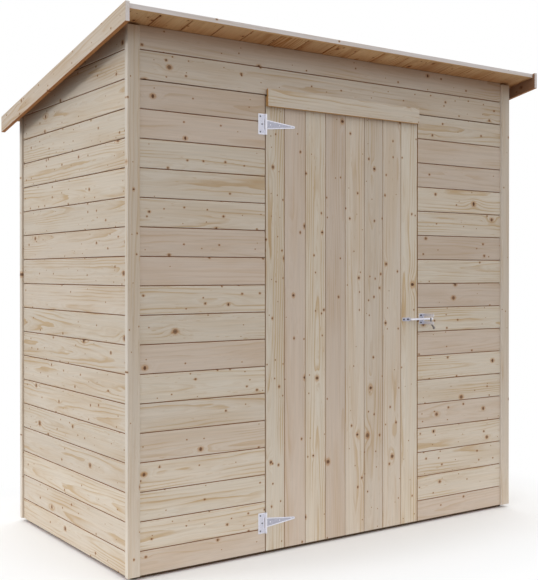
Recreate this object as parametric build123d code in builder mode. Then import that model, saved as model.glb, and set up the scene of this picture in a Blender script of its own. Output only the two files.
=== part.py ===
from build123d import *

import os
from math import cos, radians, tan

# Wooden garden shed: horizontal cladding, a pent roof that falls to the back,
# a ledged and braced door on tee hinges, and a gate latch that drops shut.

os.makedirs("parts", exist_ok=True)

# Walls, measured over the outside of the cladding
wall_width = 2044.0
wall_depth = 1086.0
front_wall_height = 2052.0
cladding_thickness = 19.0
cladding_lift = 15.0

# Corner trims outside
trim_width = 53.0
trim_depth = 25.0
trim_proud_front = 12.0
trim_proud_side = 10.0
trim_top_gap = 4.0
trim_chamfer = 3.0

# Floor
bearer_height = 45.0
bearer_width = 45.0
floor_thickness = 18.0
cross_bearer_count = 5

# Frame inside the walls
post_width = 45.0
post_depth = 35.0
rail_height = 45.0
purlin_height = 70.0
purlin_width = 45.0
back_stud_shares = (-1 / 6, 1 / 6)

# Roof, its slope in degrees
roof_slope = 10.6
deck_thickness = 16.0
front_overhang = 126.0
back_overhang = 72.0
side_overhang = 74.0
barge_thickness = 17.0
barge_height = 72.0
barge_rise = 1.0
strip_thickness = 12.0
strip_height = 18.2
strip_setback = 12.0

# Doorway and door
header_height = 202.0
opening_offset = 611.0
opening_width = 844.0
hinge_side_gap = 5.0
latch_side_gap = 6.0
door_top_gap = 5.0
door_board_thickness = 14.0
ledge_thickness = 20.0
ledge_height = 90.0
ledge_inset = 28.0
brace_width = 70.0
head_strip_height = 70.0
head_strip_thickness = 17.0
head_strip_drop = 41.0
head_strip_clearance = 5.0

# Tee hinges
hinge_inset = 115.0
hinge_plate_height = 84.0
hinge_plate_width = 30.0
hinge_plate_thickness = 2.0
knuckle_radius = 5.0
knuckle_gap = 0.5
knuckle_run_gap = 0.5
pin_radius = 2.5
pin_clearance = 0.2
strap_root_height = 39.0
strap_reach = 147.0
strap_tip_radius = 5.0

# Gate latch: striker on the door, bracket on the wall, lever on the bracket
latch_height = 935.0
striker_plate_length = 48.0
striker_plate_height = 16.0
striker_plate_thickness = 3.0
striker_plate_inset = 41.0
bar_radius = 5.0
bar_stand_off = 16.0
bar_bend_radius = 7.0
bar_leg_inset = 6.0
bar_overreach = 79.0
bar_ball_radius = 6.5
bracket_inset = 8.0
bracket_width = 27.0
bracket_reach = 69.0
bracket_sheet = 2.5
bracket_arm_height = 13.0
mouth_height = 22.0
mouth_root = 5.0
lever_thickness = 3.0
lever_pivot_reach = 46.0
lever_boss_radius = 6.0
lever_nose_length = 23.5
lever_nose_radius = 4.0
lever_tail_out = 19.0
lever_tail_drop = 21.0
lever_tail_radius = 7.0
rivet_radius = 3.0
rivet_clearance = 0.15
rivet_head_radius = 5.0
rivet_head_thickness = 1.5
collar_thickness = 0.8
lever_side_gap = 0.2

# Places worked out from the sizes: X to the right, Y to the back, Z up, ground at zero
left_x = -wall_width / 2
right_x = wall_width / 2
left_in_x = left_x + cladding_thickness
right_in_x = right_x - cladding_thickness
roof_length = front_overhang + wall_depth + back_overhang
roof_front_y = -roof_length / 2
roof_back_y = roof_length / 2
front_y = roof_front_y + front_overhang
back_y = front_y + wall_depth
front_in_y = front_y + cladding_thickness
back_in_y = back_y - cladding_thickness
middle_y = (front_y + back_y) / 2
room_width = right_in_x - left_in_x
room_depth = back_in_y - front_in_y
floor_top = bearer_height + floor_thickness
soffit_front_z = cladding_lift + front_wall_height
door_head_z = soffit_front_z - header_height
slope_run = tan(radians(roof_slope))
deck_rise = deck_thickness / cos(radians(roof_slope))


def soffit_z(y):
    """Height of the roof deck's underside at a depth."""
    return soffit_front_z - (y - front_y) * slope_run


def under_roof(y0, y1, z0):
    """Outline of an upright piece whose top follows the roof."""
    return [(y0, z0), (y1, z0), (y1, soffit_z(y1)), (y0, soffit_z(y0))]


def along_roof(y0, y1, top, depth):
    """Outline of a piece that follows the roof, its top measured over the deck's underside."""
    high = soffit_z(y0) + top
    low = soffit_z(y1) + top
    return [(y0, high - depth), (y1, low - depth), (y1, low), (y0, high)]


def write(builder, name):
    """Labels a finished piece and writes it."""
    builder.part.label = name
    export_step(builder.part, f"parts/{name}.step")


# Floor: long bearers under the front and back, cross bearers between them, one panel on top
bearer_front_y = front_in_y + bearer_width
bearer_back_y = back_in_y - bearer_width
with BuildPart() as floor_long_bearers:
    with BuildSketch():
        with Locations((0, front_in_y + bearer_width / 2), (0, back_in_y - bearer_width / 2)):
            Rectangle(room_width, bearer_width)
    extrude(amount=bearer_height)
write(floor_long_bearers, "floor_long_bearers")

cross_step = (room_width - bearer_width) / (cross_bearer_count - 1)
with BuildPart() as floor_cross_bearers:
    with BuildSketch():
        with Locations((0, middle_y)):
            with GridLocations(cross_step, 0, cross_bearer_count, 1):
                Rectangle(bearer_width, bearer_back_y - bearer_front_y)
    extrude(amount=bearer_height)
write(floor_cross_bearers, "floor_cross_bearers")

with BuildPart() as floor_panel:
    with BuildSketch(Plane.XY.offset(bearer_height)):
        with Locations((0, middle_y)):
            Rectangle(room_width, room_depth)
    extrude(amount=floor_thickness)
write(floor_panel, "floor_panel")

# Front wall: a panel each side of the doorway and one across the top
opening_left = left_x + opening_offset
opening_right = opening_left + opening_width
trim_in = trim_width - trim_proud_side
cladding_left = left_x + trim_in
cladding_right = right_x - trim_in
cladding_run = cladding_right - cladding_left
front_sheet_y = front_y + cladding_thickness / 2
front_panel_height = door_head_z - cladding_lift
with BuildPart() as front_wall_left:
    with BuildSketch(Plane.XY.offset(cladding_lift)):
        with Locations(((cladding_left + opening_left) / 2, front_sheet_y)):
            Rectangle(opening_left - cladding_left, cladding_thickness)
    extrude(amount=front_panel_height)
write(front_wall_left, "front_wall_left")

with BuildPart() as front_wall_right:
    with BuildSketch(Plane.XY.offset(cladding_lift)):
        with Locations(((opening_right + cladding_right) / 2, front_sheet_y)):
            Rectangle(cladding_right - opening_right, cladding_thickness)
    extrude(amount=front_panel_height)
write(front_wall_right, "front_wall_right")

with BuildPart() as front_wall_header:
    with BuildSketch(Plane.YZ.offset(cladding_left)):
        with BuildLine():
            Polyline(*under_roof(front_y, front_in_y, door_head_z), close=True)
        make_face()
    extrude(amount=cladding_run)
write(front_wall_header, "front_wall_header")

# Back and side walls, cut to the roof's slope at the top
with BuildPart() as back_wall:
    with BuildSketch(Plane.YZ.offset(cladding_left)):
        with BuildLine():
            Polyline(*under_roof(back_in_y, back_y, cladding_lift), close=True)
        make_face()
    extrude(amount=cladding_run)
write(back_wall, "back_wall")

trim_back = trim_depth - trim_proud_front
side_outline = under_roof(front_y + trim_back, back_y - trim_back, cladding_lift)
with BuildPart() as left_wall:
    with BuildSketch(Plane.YZ.offset(left_x)):
        with BuildLine():
            Polyline(*side_outline, close=True)
        make_face()
    extrude(amount=cladding_thickness)
write(left_wall, "left_wall")

with BuildPart() as right_wall:
    with BuildSketch(Plane.YZ.offset(right_in_x)):
        with BuildLine():
            Polyline(*side_outline, close=True)
        make_face()
    extrude(amount=cladding_thickness)
write(right_wall, "right_wall")

# Corner trims: upright battens with eased edges, topped just under the roof
trim_side_x = wall_width / 2 + trim_proud_side - trim_width / 2
with BuildPart() as corner_trims:
    for trim_y in (front_y - trim_proud_front, back_y + trim_proud_front - trim_depth):
        with BuildSketch(Plane.XY.offset(cladding_lift)) as trim_ends:
            with Locations((-trim_side_x, trim_y + trim_depth / 2), (trim_side_x, trim_y + trim_depth / 2)):
                Rectangle(trim_width, trim_depth)
            chamfer(trim_ends.vertices(), trim_chamfer)
        extrude(amount=soffit_z(trim_y + trim_depth) - trim_top_gap - cladding_lift)
write(corner_trims, "corner_trims")

# Frame inside the walls
post_front_y = front_in_y + post_depth
post_back_y = back_in_y - post_depth
with BuildPart() as corner_posts:
    for post_x in (left_in_x, right_in_x - post_width):
        for post_y in (front_in_y, post_back_y):
            with BuildSketch(Plane.YZ.offset(post_x)):
                with BuildLine():
                    Polyline(*under_roof(post_y, post_y + post_depth, floor_top), close=True)
                make_face()
            extrude(amount=post_width)
write(corner_posts, "corner_posts")

rail_left = left_in_x + post_width
rail_length = room_width - post_width - post_width
front_rail_z = soffit_z(post_front_y) - rail_height
with BuildPart() as front_top_rail:
    with BuildSketch(Plane.YZ.offset(rail_left)):
        with BuildLine():
            Polyline(*under_roof(front_in_y, post_front_y, front_rail_z), close=True)
        make_face()
    extrude(amount=rail_length)
write(front_top_rail, "front_top_rail")

back_rail_z = soffit_z(back_in_y) - rail_height
with BuildPart() as back_top_rail:
    with BuildSketch(Plane.YZ.offset(rail_left)):
        with BuildLine():
            Polyline(*under_roof(post_back_y, back_in_y, back_rail_z), close=True)
        make_face()
    extrude(amount=rail_length)
write(back_top_rail, "back_top_rail")

post_sheet_y = front_in_y + post_depth / 2
with BuildPart() as door_posts:
    with BuildSketch(Plane.XY.offset(floor_top)):
        with Locations((opening_left - post_width / 2, post_sheet_y), (opening_right + post_width / 2, post_sheet_y)):
            Rectangle(post_width, post_depth)
    extrude(amount=front_rail_z - floor_top)
write(door_posts, "door_posts")

with BuildPart() as door_head_rail:
    with BuildSketch(Plane.XY.offset(door_head_z)):
        with Locations(((opening_left + opening_right) / 2, post_sheet_y)):
            Rectangle(opening_width, post_depth)
    extrude(amount=rail_height)
write(door_head_rail, "door_head_rail")

purlin_front_y = middle_y - purlin_width / 2
purlin_back_y = middle_y + purlin_width / 2
purlin_z = soffit_z(purlin_back_y) - purlin_height
with BuildPart() as roof_purlin:
    with BuildSketch(Plane.YZ.offset(left_in_x)):
        with BuildLine():
            Polyline(*under_roof(purlin_front_y, purlin_back_y, purlin_z), close=True)
        make_face()
    extrude(amount=room_width)
write(roof_purlin, "roof_purlin")

stud_side_x = room_width / 2 - post_depth / 2
with BuildPart() as wall_studs:
    with BuildSketch(Plane.XY.offset(floor_top)):
        with Locations((-stud_side_x, middle_y), (stud_side_x, middle_y)):
            Rectangle(post_depth, purlin_width)
    extrude(amount=purlin_z - floor_top)
    with BuildSketch(Plane.XY.offset(floor_top)):
        for share in back_stud_shares:
            with Locations((wall_width * share, back_in_y - post_depth / 2)):
                Rectangle(post_width, post_depth)
    extrude(amount=back_rail_z - floor_top)
write(wall_studs, "wall_studs")

# Roof: boarded deck, a thin strip on its front and back edges, a bargeboard on each side
deck_left = left_x - side_overhang + barge_thickness
deck_width = wall_width + (side_overhang - barge_thickness) * 2
strip_front_y = roof_front_y + strip_setback
strip_back_y = roof_back_y - strip_setback
deck_front_y = strip_front_y + strip_thickness
deck_back_y = strip_back_y - strip_thickness
with BuildPart() as roof_deck:
    with BuildSketch(Plane.YZ.offset(deck_left)):
        with BuildLine():
            Polyline(*along_roof(deck_front_y, deck_back_y, deck_rise, deck_rise), close=True)
        make_face()
    extrude(amount=deck_width)
write(roof_deck, "roof_deck")

with BuildPart() as front_edge_strip:
    with BuildSketch(Plane.YZ.offset(deck_left)):
        with BuildLine():
            Polyline(*along_roof(strip_front_y, deck_front_y, deck_rise, strip_height), close=True)
        make_face()
    extrude(amount=deck_width)
write(front_edge_strip, "front_edge_strip")

with BuildPart() as back_edge_strip:
    with BuildSketch(Plane.YZ.offset(deck_left)):
        with BuildLine():
            Polyline(*along_roof(deck_back_y, strip_back_y, deck_rise, strip_height), close=True)
        make_face()
    extrude(amount=deck_width)
write(back_edge_strip, "back_edge_strip")

barge_outline = along_roof(roof_front_y, roof_back_y, deck_rise + barge_rise, barge_height)
with BuildPart() as left_bargeboard:
    with BuildSketch(Plane.YZ.offset(deck_left - barge_thickness)):
        with BuildLine():
            Polyline(*barge_outline, close=True)
        make_face()
    extrude(amount=barge_thickness)
write(left_bargeboard, "left_bargeboard")

with BuildPart() as right_bargeboard:
    with BuildSketch(Plane.YZ.offset(deck_left + deck_width)):
        with BuildLine():
            Polyline(*barge_outline, close=True)
        make_face()
    extrude(amount=barge_thickness)
write(right_bargeboard, "right_bargeboard")

# Door: boards flush with the cladding, a head strip over the top gap, ledges and braces behind
door_left = opening_left + hinge_side_gap
door_right = opening_right - latch_side_gap
door_width = door_right - door_left
door_top = door_head_z - door_top_gap
door_back_y = front_y + door_board_thickness
with BuildPart() as door_boards:
    with BuildSketch(Plane.XZ.offset(-door_back_y)):
        with Locations(((door_left + door_right) / 2, (cladding_lift + door_top) / 2)):
            Rectangle(door_width, door_top - cladding_lift)
    extrude(amount=door_board_thickness)
write(door_boards, "door_boards")

head_strip_low = door_top - head_strip_drop
head_strip_top = head_strip_low + head_strip_height
head_strip_face = front_y - head_strip_thickness
head_strip_rebate = front_y - head_strip_clearance
with BuildPart() as door_head_strip:
    with BuildSketch(Plane.YZ.offset(door_left)):
        with BuildLine():
            Polyline(
                (head_strip_face, head_strip_low), (front_y, head_strip_low), (front_y, door_top),
                (head_strip_rebate, door_top), (head_strip_rebate, head_strip_top),
                (head_strip_face, head_strip_top), close=True)
        make_face()
    extrude(amount=door_width)
write(door_head_strip, "door_head_strip")

hinge_heights = (cladding_lift + hinge_inset, door_top - hinge_inset)
ledge_middle_z = sum(hinge_heights) / len(hinge_heights)
ledge_heights = (hinge_heights[0], ledge_middle_z, hinge_heights[1])
ledge_left = door_left + ledge_inset
ledge_right = door_right - ledge_inset
ledge_back_y = door_back_y + ledge_thickness
with BuildPart() as door_ledges:
    with BuildSketch(Plane.XZ.offset(-ledge_back_y)):
        for ledge_z in ledge_heights:
            with Locations(((ledge_left + ledge_right) / 2, ledge_z)):
                Rectangle(ledge_right - ledge_left, ledge_height)
    extrude(amount=ledge_thickness)
write(door_ledges, "door_ledges")

with BuildPart() as door_braces:
    for ledge_below_z, ledge_above_z in zip(ledge_heights[:-1], ledge_heights[1:]):
        brace_foot_z = ledge_below_z + ledge_height / 2
        brace_head_z = ledge_above_z - ledge_height / 2
        with BuildSketch(Plane.XZ.offset(-ledge_back_y)):
            with BuildLine():
                Polyline(
                    (ledge_left, brace_foot_z), (ledge_left + brace_width, brace_foot_z),
                    (ledge_right, brace_head_z), (ledge_right - brace_width, brace_head_z), close=True)
            make_face()
        extrude(amount=ledge_thickness)
write(door_braces, "door_braces")

# Tee hinges: the wall plates carry the pins and the end knuckles, the straps turn on the pins
pin_x = opening_left + hinge_side_gap / 2
pin_y = front_y - knuckle_radius
plate_right = pin_x - knuckle_radius - knuckle_run_gap
end_knuckle = (hinge_plate_height - strap_root_height) / 2 - knuckle_gap
with BuildPart() as hinge_wall_plates:
    for hinge_z in hinge_heights:
        plate_low = hinge_z - hinge_plate_height / 2
        with BuildSketch(Plane.XZ.offset(-front_y)):
            with Locations((plate_right - hinge_plate_width / 2, hinge_z)):
                Rectangle(hinge_plate_width, hinge_plate_height)
        extrude(amount=hinge_plate_thickness)
        with BuildSketch(Plane.XY.offset(plate_low)):
            with Locations((pin_x, pin_y)):
                Circle(pin_radius)
        extrude(amount=hinge_plate_height)
        for knuckle_z in (plate_low, plate_low + hinge_plate_height - end_knuckle):
            with BuildSketch(Plane.XY.offset(knuckle_z)):
                with Locations((pin_x, pin_y)):
                    Circle(knuckle_radius)
                with Locations(((plate_right + pin_x) / 2, front_y - hinge_plate_thickness / 2)):
                    Rectangle(pin_x - plate_right, hinge_plate_thickness)
            extrude(amount=end_knuckle)
write(hinge_wall_plates, "hinge_wall_plates")

strap_tip_x = pin_x + strap_reach - strap_tip_radius
with BuildPart() as hinge_straps:
    for hinge_z in hinge_heights:
        strap_low = hinge_z - strap_root_height / 2
        strap_high = hinge_z + strap_root_height / 2
        with BuildSketch(Plane.XZ.offset(-front_y)):
            with BuildLine():
                Polyline(
                    (pin_x, strap_low), (strap_tip_x, hinge_z - strap_tip_radius),
                    (strap_tip_x, hinge_z + strap_tip_radius), (pin_x, strap_high), close=True)
            make_face()
            with Locations((strap_tip_x, hinge_z)):
                Circle(strap_tip_radius)
        extrude(amount=hinge_plate_thickness)
        with BuildSketch(Plane.XY.offset(strap_low)):
            with Locations((pin_x, pin_y)):
                Circle(knuckle_radius)
        extrude(amount=strap_root_height)
        with BuildSketch(Plane.XY.offset(strap_low)):
            with Locations((pin_x, pin_y)):
                Circle(pin_radius + pin_clearance)
        extrude(amount=strap_root_height, mode=Mode.SUBTRACT)
write(hinge_straps, "hinge_straps")

# Latch striker on the door: a plate and a bent bar with a ball end
striker_right = door_right - striker_plate_inset
striker_face_y = front_y - striker_plate_thickness
bar_y = front_y - bar_stand_off
bar_leg_x = striker_right - bar_leg_inset
bar_end_x = door_right + bar_overreach
with BuildPart() as latch_striker:
    with BuildSketch(Plane.XZ.offset(-front_y)):
        with Locations((striker_right - striker_plate_length / 2, latch_height)):
            Rectangle(striker_plate_length, striker_plate_height)
    extrude(amount=striker_plate_thickness)
    with BuildLine(Plane.XY.offset(latch_height)):
        FilletPolyline(
            (bar_leg_x, striker_face_y), (bar_leg_x, bar_y), (bar_end_x, bar_y), radius=bar_bend_radius)
    with BuildSketch(Plane.XZ.offset(-striker_face_y)):
        with Locations((bar_leg_x, latch_height)):
            Circle(bar_radius)
    sweep()
    with Locations((bar_end_x, bar_y, latch_height)):
        Sphere(bar_ball_radius)
write(latch_striker, "latch_striker")

# Latch bracket on the wall: a bent plate whose outer leaf is a fork, and the lever's rivet
bracket_left = opening_right + bracket_inset
bracket_right = bracket_left + bracket_width
mouth_low = latch_height - mouth_height / 2
mouth_high = latch_height + mouth_height / 2
bracket_low = mouth_low - bracket_arm_height
bracket_high = mouth_high + bracket_arm_height
arm_end_y = front_y - bracket_reach
mouth_root_y = front_y - mouth_root
pivot = (front_y - lever_pivot_reach, mouth_low - bracket_arm_height / 2)
rivet_length = collar_thickness + lever_side_gap + lever_thickness + lever_side_gap
with BuildPart() as latch_bracket:
    with BuildSketch(Plane.XZ.offset(-front_y)):
        with Locations(((bracket_left + bracket_right) / 2, latch_height)):
            Rectangle(bracket_width, bracket_high - bracket_low)
    extrude(amount=bracket_sheet)
    with BuildSketch(Plane.YZ.offset(bracket_right - bracket_sheet)):
        with BuildLine():
            Polyline(
                (front_y, bracket_low), (arm_end_y, bracket_low), (arm_end_y, mouth_low),
                (mouth_root_y, mouth_low), (mouth_root_y, mouth_high), (arm_end_y, mouth_high),
                (arm_end_y, bracket_high), (front_y, bracket_high), close=True)
        make_face()
    extrude(amount=bracket_sheet)
    with BuildSketch(Plane.YZ.offset(bracket_right)):
        with Locations(pivot):
            Circle(rivet_head_radius)
    extrude(amount=collar_thickness)
    with BuildSketch(Plane.YZ.offset(bracket_right)):
        with Locations(pivot):
            Circle(rivet_radius)
    extrude(amount=rivet_length)
    with BuildSketch(Plane.YZ.offset(bracket_right + rivet_length)):
        with Locations(pivot):
            Circle(rivet_head_radius)
    extrude(amount=rivet_head_thickness)
write(latch_bracket, "latch_bracket")

# Latch lever: its nose closes the mouth before the bar, its tail is lifted to open
lever_plane = Plane.YZ.offset(bracket_right + collar_thickness + lever_side_gap)
nose_tip = (pivot[0], pivot[1] + lever_nose_length - lever_nose_radius)
tail_end = (pivot[0] - lever_tail_out, pivot[1] - lever_tail_drop)
with BuildPart() as latch_lever:
    with BuildSketch(lever_plane):
        with Locations(pivot):
            Circle(lever_boss_radius)
        with Locations(nose_tip):
            Circle(lever_nose_radius)
        make_hull()
    extrude(amount=lever_thickness)
    with BuildSketch(lever_plane):
        with Locations(pivot, tail_end):
            Circle(lever_nose_radius)
        make_hull()
    extrude(amount=lever_thickness)
    with BuildSketch(lever_plane):
        with Locations(tail_end):
            Circle(lever_tail_radius)
    extrude(amount=lever_thickness)
    with BuildSketch(lever_plane):
        with Locations(pivot):
            Circle(rivet_radius + rivet_clearance)
    extrude(amount=lever_thickness, mode=Mode.SUBTRACT)
write(latch_lever, "latch_lever")
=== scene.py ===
import math
import random

import bmesh
import bpy
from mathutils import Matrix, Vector


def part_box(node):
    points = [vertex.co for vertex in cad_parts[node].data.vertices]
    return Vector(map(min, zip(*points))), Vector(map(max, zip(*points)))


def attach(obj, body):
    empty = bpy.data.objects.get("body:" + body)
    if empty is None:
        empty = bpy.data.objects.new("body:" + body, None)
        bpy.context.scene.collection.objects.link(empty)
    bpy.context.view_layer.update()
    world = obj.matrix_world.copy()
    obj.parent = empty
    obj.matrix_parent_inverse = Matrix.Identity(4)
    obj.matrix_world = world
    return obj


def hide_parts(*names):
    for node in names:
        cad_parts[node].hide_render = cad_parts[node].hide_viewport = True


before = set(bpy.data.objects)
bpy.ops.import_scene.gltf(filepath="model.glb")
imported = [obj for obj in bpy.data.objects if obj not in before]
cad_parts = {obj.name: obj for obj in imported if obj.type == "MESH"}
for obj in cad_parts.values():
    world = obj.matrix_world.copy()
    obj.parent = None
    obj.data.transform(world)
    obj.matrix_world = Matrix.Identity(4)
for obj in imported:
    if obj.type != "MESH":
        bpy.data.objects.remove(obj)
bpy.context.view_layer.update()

# The walls' and the roof's own lines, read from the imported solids
left_low, left_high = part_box("left_wall")
right_low, right_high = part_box("right_wall")
back_low, back_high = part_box("back_wall")
front_left_low, front_left_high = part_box("front_wall_left")
front_right_low, front_right_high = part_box("front_wall_right")
header_low, header_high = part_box("front_wall_header")
door_low, door_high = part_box("door_boards")
floor_low, floor_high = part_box("floor_panel")
deck_low, deck_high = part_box("roof_deck")

ACROSS = Vector((1, 0, 0))
BACK = Vector((0, 1, 0))
UP = Vector((0, 0, 1))

# The roof's slope, and its underside over the front wall
ROOF_SLOPE = math.radians(10.6)
DOWN_ROOF = Vector((0, math.cos(ROOF_SLOPE), -math.sin(ROOF_SLOPE)))
ROOF_UP = Vector((0, math.sin(ROOF_SLOPE), math.cos(ROOF_SLOPE)))
DECK_THICKNESS = 0.016
SOFFIT_FRONT = Vector((0, front_left_low.y, 2.067))

# Tongue-and-groove boards, in metres: what one board covers, where the first starts, how many are laid, and
# what the roof's and the floor's reach over the edge before they are cut
CLADDING_THICKNESS = left_high.x - left_low.x
CLADDING_COVER = 0.110
CLADDING_FIRST = -0.005
CLADDING_ROWS = 19
HEADER_ROWS = 2
DOOR_COVER = 0.1071
DOOR_FIRST = -0.3126 - DOOR_COVER
DOOR_PLANKS = 9
DECK_COVER = 0.136
DECK_FIRST = -0.8025 - 2 * DECK_COVER
DECK_BOARDS = 17
DECK_OVERRUN = 0.02
FLOOR_COVER = 0.110
FLOOR_LEAD = 0.03
FLOOR_BOARDS = 11

# One board's section, the joints, and the play left at ends and under the roof
BOARD_GAP = 0.0030
PLANK_GAP = 0.0018
BOARD_CHAMFER = 0.0020
REAR_CHAMFER = 0.0005
TONGUE_LENGTH = 0.0046
TONGUE_PLAY = 0.0003
GROOVE_SPARE = 0.0006
BOARD_SLIP = 0.0003
END_PLAY = 0.0026
SOFFIT_PLAY = 0.0015
HEADER_PLAY = 0.6 * BOARD_GAP

# Tones of the front boards from the sole up and of the door's planks from the left, cream at 0 and rose at 1
LEFT_OF_DOOR_TONES = (0.8, 0.15, 0.0, 0.1, 0.6, 0.2, 0.1, 0.9, 0.1,
                      0.1, 1.0, 0.9, 0.15, 0.1, 0.15, 0.9, 0.95)
RIGHT_OF_DOOR_TONES = (0.9, 0.1, 0.1, 0.15, 0.8, 0.1, 0.1, 0.9, 0.05,
                       0.9, 0.1, 0.9, 0.1, 0.15, 0.9, 0.85, 0.2)
OVER_DOOR_TONES = (0.35, 0.65)
DOOR_TONES = (0.05, 0.95, 0.10, 0.90, 0.30, 0.45, 0.35, 0.05)

# Widths of growth rings, and colours that multiply the wood's own
BROAD_RING = 0.0098
FINE_RING = 0.0031
PLAIN_HONEY = (0.78, 0.61, 0.39, 1.0)
TRIM_HONEY = (0.84, 0.72, 0.56, 1.0)
KNOT_HALO = (0.78, 0.53, 0.31, 1.0)
SAWN_EDGE = (0.92, 0.62, 0.32, 1.0)
JOINT_SIDE = (0.78, 0.54, 0.43, 1.0)
# Painted shade: the colour that darkens the wood close under the roof, and how far down it reaches
EAVES_SHADE = (0.78, 0.64, 0.54, 1.0)
EAVES_SHADE_DEPTH = 0.085

# Stains of faces: up to HONEYED they turn towards a sawn edge's colour, from there on towards a joint's
HONEYED = 0.5
END_GRAIN = 0.35
# How far the barges' undersides are stained, as painted shade and warm bounce light
BARGE_UNDERSIDE_SHADE = 0.85

# How closely a face has to look a given way, as the cosine of the angle between the two
ROUGHLY = 0.5
MAINLY = 0.6
NEARLY = 0.9
EXACTLY = 0.99

# Points this near are one point, with the finer distance for small fittings and for cuts
MERGE_DISTANCE = 1e-5
FINE_DISTANCE = 1e-6

# A face whose middle is this near a cut lies along it
AT_CUT = 1e-4


# Shader helpers

def feed(tree, socket, value):
    if isinstance(value, bpy.types.NodeSocket):
        tree.links.new(value, socket)
    else:
        socket.default_value = value


def calc(tree, operation, *values, clamp=False):
    node = tree.nodes.new("ShaderNodeMath")
    node.operation = operation
    node.use_clamp = clamp
    for socket, value in zip(node.inputs, values):
        feed(tree, socket, value)
    return node.outputs[0]


def hypotenuse(tree, one, other):
    return calc(tree, "SQRT", calc(tree, "MULTIPLY_ADD", one, one, calc(tree, "MULTIPLY", other, other)))


def rise(tree, value, low, high):
    """0 below low, 1 above high, smooth between; high may lie below low."""
    node = tree.nodes.new("ShaderNodeMapRange")
    node.interpolation_type = "SMOOTHSTEP"
    feed(tree, node.inputs["Value"], value)
    feed(tree, node.inputs["From Min"], low)
    feed(tree, node.inputs["From Max"], high)
    return node.outputs["Result"]


def tint(tree, amount, first, second, blend="MIX"):
    node = tree.nodes.new("ShaderNodeMix")
    node.data_type = "RGBA"
    node.blend_type = blend
    feed(tree, node.inputs[0], amount)
    feed(tree, node.inputs[6], first)
    feed(tree, node.inputs[7], second)
    return node.outputs[2]


def stained(tree, amount, colour, by):
    """The colour, multiplied by another as far as the amount says."""
    return tint(tree, amount, colour, tint(tree, 1.0, colour, by, "MULTIPLY"))


def noise(tree, vector, scale, detail=2.0, rough=0.5):
    node = tree.nodes.new("ShaderNodeTexNoise")
    feed(tree, node.inputs["Vector"], vector)
    node.inputs["Scale"].default_value = scale
    node.inputs["Detail"].default_value = detail
    node.inputs["Roughness"].default_value = rough
    return node.outputs["Fac"]


def stretch(tree, vector, by):
    node = tree.nodes.new("ShaderNodeVectorMath")
    node.operation = "MULTIPLY"
    feed(tree, node.inputs[0], vector)
    node.inputs[1].default_value = by
    return node.outputs[0]


def grain(tree, place, by, detail, rough=0.5):
    """Noise that is as fine each way as the three numbers in by say."""
    return noise(tree, stretch(tree, place, by), 1.0, detail, rough)


def join_xyz(tree, x, y, z):
    node = tree.nodes.new("ShaderNodeCombineXYZ")
    for socket, value in zip(node.inputs, (x, y, z)):
        feed(tree, socket, value)
    return node.outputs[0]


def split_xyz(tree, vector):
    node = tree.nodes.new("ShaderNodeSeparateXYZ")
    feed(tree, node.inputs[0], vector)
    return node.outputs[0], node.outputs[1], node.outputs[2]


def object_place(tree):
    return tree.nodes.new("ShaderNodeTexCoord").outputs["Object"]


def attribute(tree, name, output):
    node = tree.nodes.new("ShaderNodeAttribute")
    node.attribute_type = "GEOMETRY"
    node.attribute_name = name
    return node.outputs[output]


def new_material(name):
    """A material, its node tree and its shader."""
    material = bpy.data.materials.new(name)
    material.use_nodes = True
    tree = material.node_tree
    return material, tree, tree.nodes["Principled BSDF"]


def add_bump(tree, shader, height, strength, distance):
    bump = tree.nodes.new("ShaderNodeBump")
    bump.inputs["Strength"].default_value = strength
    bump.inputs["Distance"].default_value = distance
    tree.links.new(height, bump.inputs["Height"])
    tree.links.new(bump.outputs["Normal"], shader.inputs["Normal"])


def knot_field(tree, along, aside, cell, kept_share, smallest, largest, turn):
    """Scattered knots on a board's face: how far off the nearest is both ways, its radius, whether it is
    there, and a lot from 0 to 1."""
    spot = join_xyz(tree, calc(tree, "MULTIPLY_ADD", along, 1 / cell[0], turn),
                    calc(tree, "MULTIPLY_ADD", aside, 1 / cell[1], turn), 0.0)
    cells = tree.nodes.new("ShaderNodeTexVoronoi")
    cells.voronoi_dimensions = "2D"
    cells.feature = "F1"
    cells.inputs["Scale"].default_value = 1.0
    tree.links.new(spot, cells.inputs["Vector"])
    away = tree.nodes.new("ShaderNodeVectorMath")
    away.operation = "SUBTRACT"
    tree.links.new(spot, away.inputs[0])
    tree.links.new(cells.outputs["Position"], away.inputs[1])
    off_along, off_aside, _ = split_xyz(tree, stretch(tree, away.outputs[0], (cell[0], cell[1], 0.0)))
    lot = tree.nodes.new("ShaderNodeSeparateColor")
    tree.links.new(cells.outputs["Color"], lot.inputs[0])
    there = calc(tree, "LESS_THAN", lot.outputs[0], kept_share)
    size = calc(tree, "POWER", lot.outputs[1], 1.7)
    radius = calc(tree, "MULTIPLY_ADD", size, largest - smallest, smallest)
    return off_along, off_aside, radius, there, lot.outputs[2]


def round_from(tree, off_along, off_aside, radius, shrink):
    """Distance from a knot's middle in radii, with lengths along the grain shrunk."""
    lengthways = calc(tree, "MULTIPLY", off_along, shrink)
    return calc(tree, "DIVIDE", hypotenuse(tree, lengthways, off_aside), radius)


def shade_under_roof(tree):
    """Painted shade: 1 close under the roof's boards, 0 from a hand's breadth below them on."""
    _, y, z = split_xyz(tree, object_place(tree))
    fall = math.tan(ROOF_SLOPE)
    soffit = calc(tree, "MULTIPLY_ADD", y, -fall, SOFFIT_FRONT.z + SOFFIT_FRONT.y * fall)
    return rise(tree, calc(tree, "SUBTRACT", soffit, z), EAVES_SHADE_DEPTH, 0.0)


def shade_behind_eaves(tree):
    """Painted shade on the roof's underside: 0 at the roof's front edge, 1 from the front wall on."""
    _, y, _ = split_xyz(tree, object_place(tree))
    return rise(tree, y, deck_low.y, front_left_low.y)


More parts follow.
